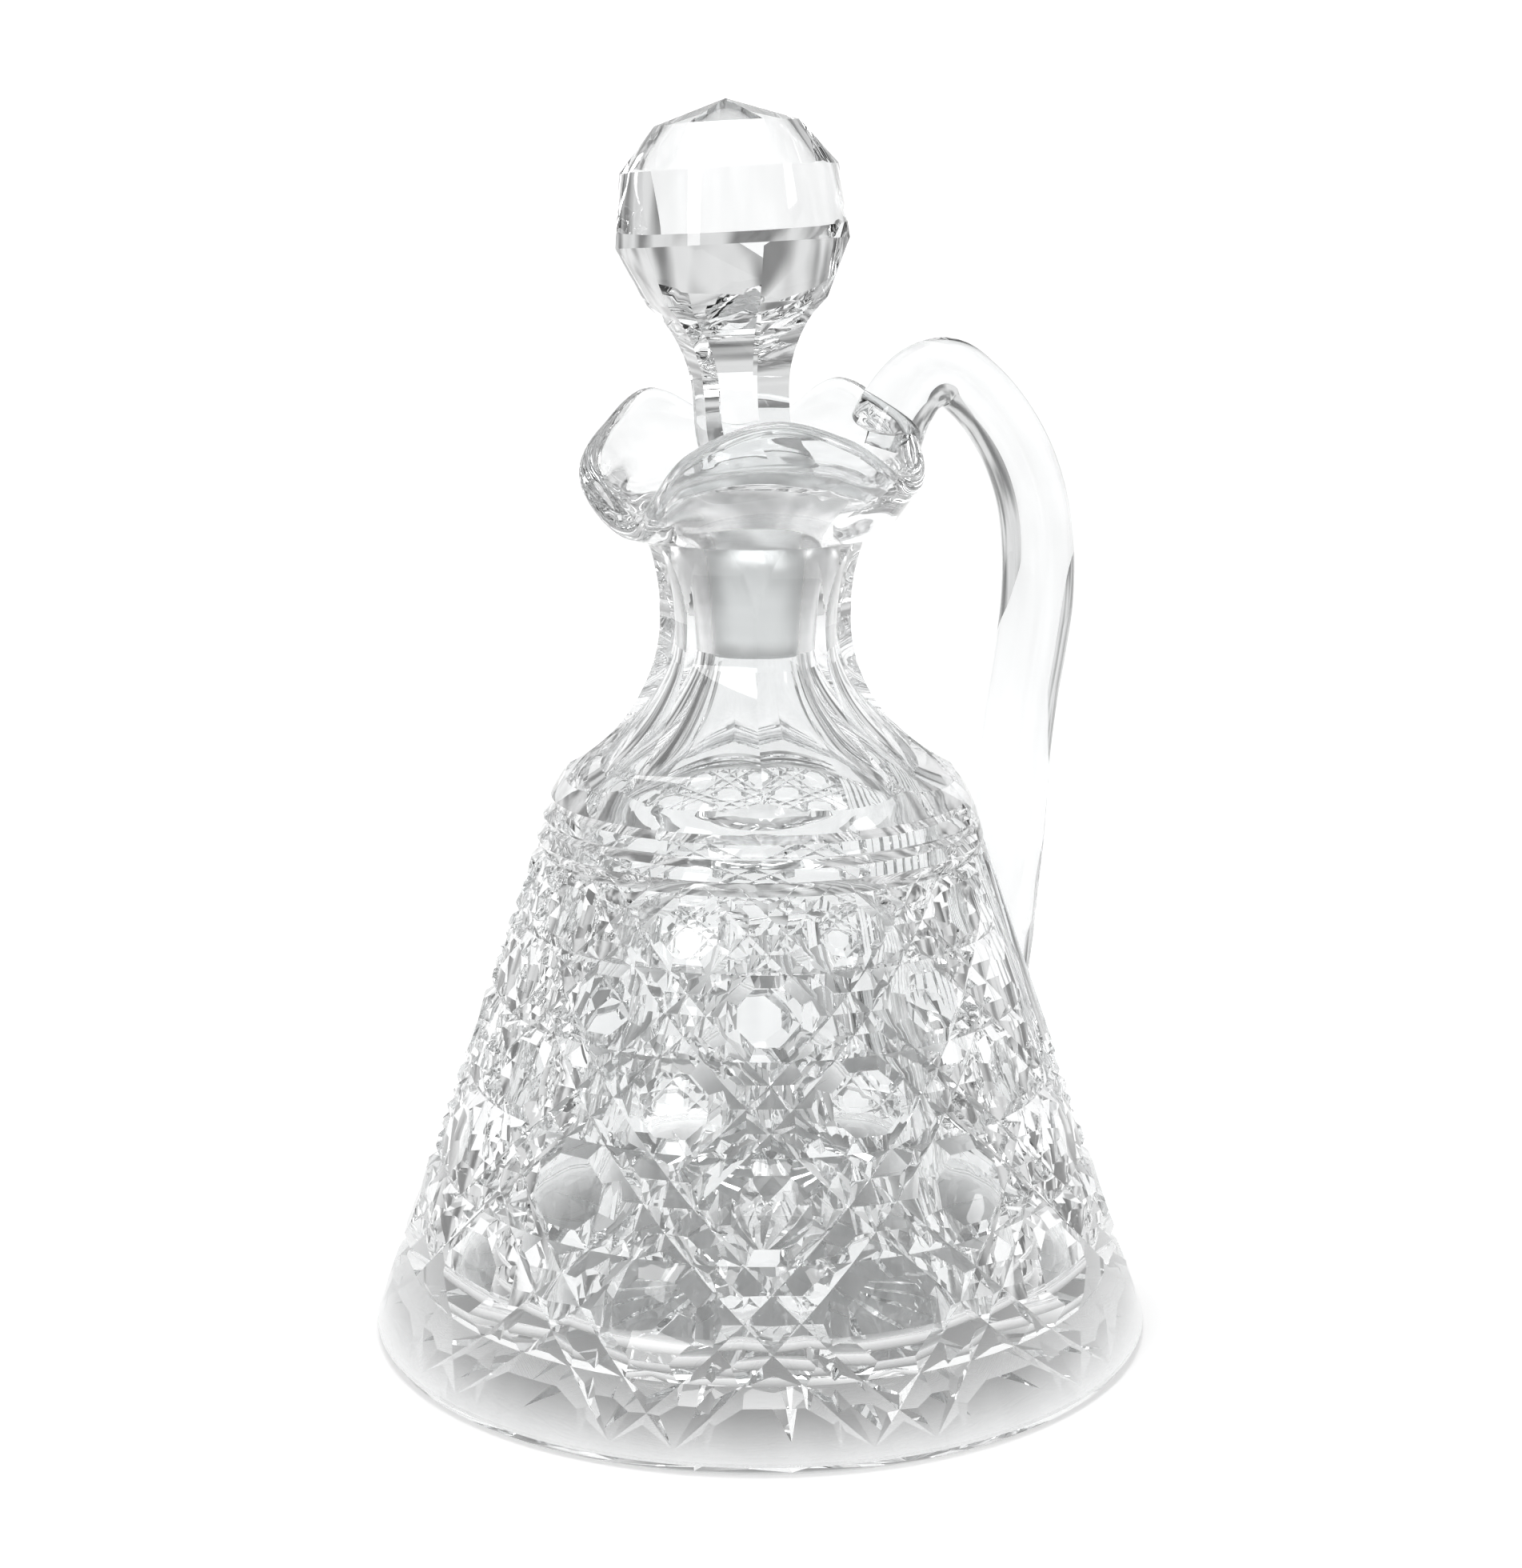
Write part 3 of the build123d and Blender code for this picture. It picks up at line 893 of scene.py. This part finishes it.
def vessel_envelope(sink):
    """The vessel's outer skin as one closed form, drawn in by a hair, to trim the handle's ends."""
    mesh = Mesh()
    count = 180
    levels = [40.0 + 2.0 * i for i in range(24)]
    levels += [88.0 + 1.0 * i for i in range(53)]
    rings = []

    def level_ring(radius_at, height_at, share=1.0):
        made = []
        for i in range(count):
            azimuth = 2 * math.pi * i / count
            made.append(drifted(mesh, radius_at(azimuth) - sink, azimuth, height_at(azimuth), share))
        return made

    for height in levels:
        curve = cone_radius if height < 84 else shoulder_curve
        rings.append(
            level_ring(
                lambda a, h=height, c=curve: min(c(h), flute_radius(a, h)),
                lambda a, h=height: h,
            )
        )
    for k in range(1, LIP_OUTER + LIP_ROLL // 2):
        rings.append(
            level_ring(
                lambda a, k=k: lip_section(a)[k][0],
                lambda a, k=k: lip_section(a)[k][1],
                lip_drift(k),
            )
        )
    for lower, upper in zip(rings, rings[1:]):
        mesh.band(lower, upper)
    mesh.face(list(reversed(rings[0])))
    middle = mesh.point(0, 0, 160.0)
    for i in range(count):
        mesh.face([rings[-1][i], rings[-1][(i + 1) % count], middle])
    return mesh.build("envelope", [])


def apply_modifiers(piece):
    graph = bpy.context.evaluated_depsgraph_get()
    final = bpy.data.meshes.new_from_object(piece.evaluated_get(graph))
    piece.modifiers.clear()
    piece.data = final


# ---------------------------------------------------------------- stopper


def make_stopper(materials):
    mesh = Mesh()
    clocking = math.radians(STOPPER_CLOCKING)
    toward = Vector((math.cos(math.radians(LEAN_AZIMUTH)), math.sin(math.radians(LEAN_AZIMUTH)), 0))
    axis = Vector((-toward.y, toward.x, 0))
    pivot = Vector((0, 0, PEG_TOP))
    around = STEM_TURNS

    def leaned(radius, azimuth, height):
        share = min(max((height - PEG_TOP) / 8.0, 0.0), 1.0)
        turn = Matrix.Rotation(math.radians(STOPPER_LEAN) * share, 3, axis)
        at = Vector((radius * math.cos(azimuth), radius * math.sin(azimuth), height))
        at = turn @ (at - pivot) + pivot
        shift = min(max((height - PEG_TOP) / 12.0, 0.0), 1.0)
        at += toward * (drift(height) + STEM_SHIFT * shift * shift * (3 - 2 * shift))
        return mesh.point(at.x, at.y, at.z)

    stem = smooth_through(
        [
            (150.0, 9.4),
            (157.0, 8.8),
            (164.0, 8.5),
            (169.5, 9.0),
            (174.2, 10.6),
            (178.2, 13.0),
            (BALL_BASE, 16.0),
        ]
    )
    step = 2 * math.pi / STEM_PANELS

    def stem_radius(azimuth, height):
        turn = (azimuth - clocking) % step - step / 2
        flat = stem(height) * math.cos(step / 2) / math.cos(turn)
        if height >= 160.0:
            return flat
        shank = SHANK_RADIUS + (height - PEG_TOP) * SHANK_FLARE
        return min(shank, flat + max(0.0, (156.0 - height)) * 0.25)

    angles = [clocking + 2 * math.pi * i / around for i in range(around)]

    def seat_radius(height):
        return SEAT_BOTTOM_RADIUS + SEAT_SLOPE * (height - SEAT_BOTTOM) - SEAT_CLEARANCE

    rings = [[leaned(seat_radius(PEG_BOTTOM) - 0.6, a, PEG_BOTTOM) for a in angles]]
    finishes = [1]
    for i in range(8):
        height = PEG_BOTTOM + 0.6 + (148.6 - PEG_BOTTOM - 0.6) * i / 7
        rings.append([leaned(seat_radius(height), a, height) for a in angles])
        finishes.append(1)
    heights = [149.4 + 0.8 * i for i in range(18)]
    while heights[-1] < 180.4:
        heights.append(heights[-1] + 0.75)
    for height in heights:
        rings.append([leaned(stem_radius(a, height), a, height) for a in angles])
        finishes.append(0)
    rings.append([leaned(stem_radius(a, BALL_BASE), a, BALL_BASE) for a in angles])
    finishes.append(0)
    bottom = leaned(0, 0, PEG_BOTTOM)
    for i in range(around):
        mesh.face([rings[0][(i + 1) % around], rings[0][i], bottom], 1)
    for k in range(1, len(rings)):
        mesh.band(rings[k - 1], rings[k], finishes[k - 1])

    base = rings[-1]
    side = around // STEM_PANELS

    def crown(size, count, start):
        radius, height = size
        return [
            leaned(radius, clocking + math.radians(start) + 2 * math.pi * i / count, height)
            for i in range(count)
        ]

    wide = crown(BALL_WIDE, 12, 0)
    upper = crown(BALL_UPPER, 12, 15)
    top = crown(BALL_CROWN, 6, 15)
    summit = leaned(0, 0, BALL_SUMMIT)
    for k in range(STEM_PANELS):
        edge = [base[(k * side + i) % around] for i in range(side + 1)]
        w0, w1, w2 = (wide[(2 * k + i) % 12] for i in range(3))
        mesh.face([edge[0], w1, w0])
        mesh.face(edge + [w1])
        mesh.face([edge[-1], w2, w1])
        t0, t1 = top[k], top[(k + 1) % 6]
        u0, u1, u2 = (upper[(2 * k + i) % 12] for i in range(3))
        mesh.face([u0, u1, t0])
        mesh.face([u1, t1, t0])
        mesh.face([u1, u2, t1])
        mesh.face([t0, t1, summit])
    for k in range(12):
        mesh.face([wide[k], wide[(k + 1) % 12], upper[k]])
        mesh.face([wide[(k + 1) % 12], upper[(k + 1) % 12], upper[k]])
    return mesh.build("ball_stopper", materials, 20)


# ---------------------------------------------------------------- materials


class Socket:
    """Wraps a node socket so that shader maths can be written as expressions."""

    def __init__(self, tree, output):
        self.tree, self.output = tree, output

    def math(self, operation, other):
        return self.tree.node("ShaderNodeMath", {"operation": operation}, {0: self, 1: other})[0]

    def __add__(self, other):
        return self.math("ADD", other)

    def __mul__(self, other):
        return self.math("MULTIPLY", other)

    __radd__ = __add__
    __rmul__ = __mul__


class Tree:
    """The node tree of a material or world. node() adds one node and returns its outputs."""

    def __init__(self, owner):
        self.owner = owner
        owner.use_nodes = True
        self.nodes = owner.node_tree.nodes
        self.links = owner.node_tree.links
        self.nodes.clear()

    def node(self, kind, settings=None, inputs=None):
        made = self.nodes.new(kind)
        for key, value in (settings or {}).items():
            setattr(made, key, value)
        for key, value in (inputs or {}).items():
            if isinstance(value, Socket):
                self.links.new(value.output, made.inputs[key])
            else:
                made.inputs[key].default_value = value
        return [Socket(self, output) for output in made.outputs]

    def ramp(self, value, start, end, low, high):
        """A smooth step from low to high as the value goes from start to end."""
        return self.node(
            "ShaderNodeMapRange",
            {"interpolation_type": "SMOOTHSTEP"},
            {0: value, 1: start, 2: end, 3: low, 4: high},
        )[0]

    def finish(self, surface):
        self.node("ShaderNodeOutputMaterial", None, {"Surface": surface})
        return self.owner


def crystal():
    tree = Tree(bpy.data.materials.new("cut_crystal"))
    surface = tree.node(
        "ShaderNodeBsdfPrincipled",
        None,
        {
            "Base Color": (0.92, 0.928, 0.93, 1),
            "Roughness": 0.0,
            "IOR": 1.545,
            "Transmission Weight": 1.0,
        },
    )[0]
    return tree.finish(surface)


def ground_crystal():
    tree = Tree(bpy.data.materials.new("ground_crystal"))
    grain = tree.node("ShaderNodeTexNoise", None, {"Scale": 900.0, "Detail": 3.0})[0]
    surface = tree.node(
        "ShaderNodeBsdfPrincipled",
        None,
        {
            "Base Color": (0.94, 0.95, 0.95, 1),
            "Roughness": 0.22 + grain * 0.2,
            "IOR": 1.545,
            "Transmission Weight": 1.0,
        },
    )[0]
    return tree.finish(surface)


def painted_light_sweep():
    """Pale paper with painted light: it glows though no lamp, least under the glass as a painted
    contact shadow, most on the back wall as painted brightening.
    """
    tree = Tree(bpy.data.materials.new("painted_light_sweep"))
    place = tree.node("ShaderNodeTexCoord")[3]
    reach = tree.node("ShaderNodeVectorMath", {"operation": "LENGTH"}, {0: place})[1]
    # painted contact shadow: the glow is held low under the glass and rises outward
    under = tree.ramp(reach, 0.038, 0.078, PAINTED_SHADOW_GLOW, PAINTED_FLOOR_GLOW)
    # painted brightening of the glow toward the back wall
    painted_glow = under + tree.ramp(reach, 0.14, 0.45, 0.0, PAINTED_WALL_GLOW - PAINTED_FLOOR_GLOW)
    colour = tree.node("ShaderNodeCombineXYZ", None, {0: painted_glow, 1: painted_glow, 2: painted_glow})[0]
    surface = tree.node(
        "ShaderNodeBsdfPrincipled",
        None,
        {
            "Base Color": (0.9, 0.9, 0.9, 1),
            "Roughness": 0.7,
            "Specular IOR Level": 0.2,
            # the painted glow is emitted by the sweep itself, not a lamp
            "Emission Color": colour,
            "Emission Strength": 1.0,
        },
    )[0]
    return tree.finish(surface)


# ---------------------------------------------------------------- studio


def light_tent():
    """Soft pale surroundings with broad lighter and darker fields, as cloth panels give."""
    world = bpy.data.worlds.new("light_tent")
    tree = Tree(world)
    place = tree.node("ShaderNodeTexCoord")[0]
    fields = tree.node("ShaderNodeTexNoise", None, {"Vector": place, "Scale": 4.2, "Detail": 1.0})[0]
    level = tree.ramp(fields, 0.38, 0.62, TENT_DARK, TENT_LIGHT)
    colour = tree.node("ShaderNodeCombineXYZ", None, {0: level, 1: level, 2: level})[0]
    surface = tree.node("ShaderNodeBackground", None, {"Color": colour, "Strength": 1.0})[0]
    tree.node("ShaderNodeOutputWorld", None, {"Surface": surface})
    return world


def studio():
    scene = bpy.context.scene
    scene.world = light_tent()

    sweep = bpy.data.meshes.new("sweep")
    profile = [(SWEEP_FRONT, 0.0), (SWEEP_BACK - SWEEP_CURVE, 0.0)]
    for i in range(1, 13):
        turn = math.pi / 2 * i / 12
        profile.append(
            (
                SWEEP_BACK - SWEEP_CURVE + SWEEP_CURVE * math.sin(turn),
                SWEEP_CURVE - SWEEP_CURVE * math.cos(turn),
            )
        )
    profile.append((SWEEP_BACK, SWEEP_TOP))
    points = [(side * SWEEP_HALF, y, z) for y, z in profile for side in (-1, 1)]
    faces = [(2 * i, 2 * i + 1, 2 * i + 3, 2 * i + 2) for i in range(len(profile) - 1)]
    sweep.from_pydata(points, [], faces)
    for polygon in sweep.polygons:
        polygon.use_smooth = True
    sweep.materials.append(painted_light_sweep())
    backdrop = bpy.data.objects.new("sweep", sweep)
    backdrop.rotation_euler.z = math.radians(-19.9)
    scene.collection.objects.link(backdrop)

    def softbox(name, at, aim, width, height, power):
        light = bpy.data.lights.new(name, "AREA")
        light.shape = "RECTANGLE"
        light.size, light.size_y = width, height
        light.energy = power
        lamp = bpy.data.objects.new(name, light)
        lamp.location = at
        lamp.rotation_euler = (Vector(aim) - Vector(at)).to_track_quat("-Z", "Y").to_euler()
        scene.collection.objects.link(lamp)

    softbox("overhead", (0.0, 0.15, 1.0), (0, 0, 0.1), 0.5, 0.4, 3)
    softbox("left", (-0.8, -0.5, 0.6), (0, 0, 0.1), 0.25, 0.5, 2)
    softbox("right", (0.7, -0.7, 0.7), (0, 0, 0.1), 0.2, 0.4, 1.5)

    camera = bpy.data.cameras.new("camera")
    camera.lens = 62.09
    camera.sensor_width = 36
    camera.shift_x = 0.0005
    camera.clip_start = 0.01
    view = bpy.data.objects.new("camera", camera)
    turn = math.radians(CAMERA_TURN)
    aside, back = CAMERA_DISTANCE * math.sin(turn), -CAMERA_DISTANCE * math.cos(turn)
    view.location = (aside, back, CAMERA_HEIGHT)
    view.rotation_euler = (math.radians(90 - CAMERA_PITCH), 0, turn)
    scene.collection.objects.link(view)
    scene.camera = view
    scene.view_settings.view_transform = "Standard"
    cycles = scene.cycles
    cycles.max_bounces = 32
    cycles.transmission_bounces = 32
    cycles.glossy_bounces = 12


polished = crystal()
ground = ground_crystal()

vessel = make_vessel([polished, ground])
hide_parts("decanter_body")
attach(vessel, "vessel")

handle = make_handle([polished])
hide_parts("applied_handle")
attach(handle, "vessel")

stopper = make_stopper([polished, ground])
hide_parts("stopper")
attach(stopper, "stopper")

studio()
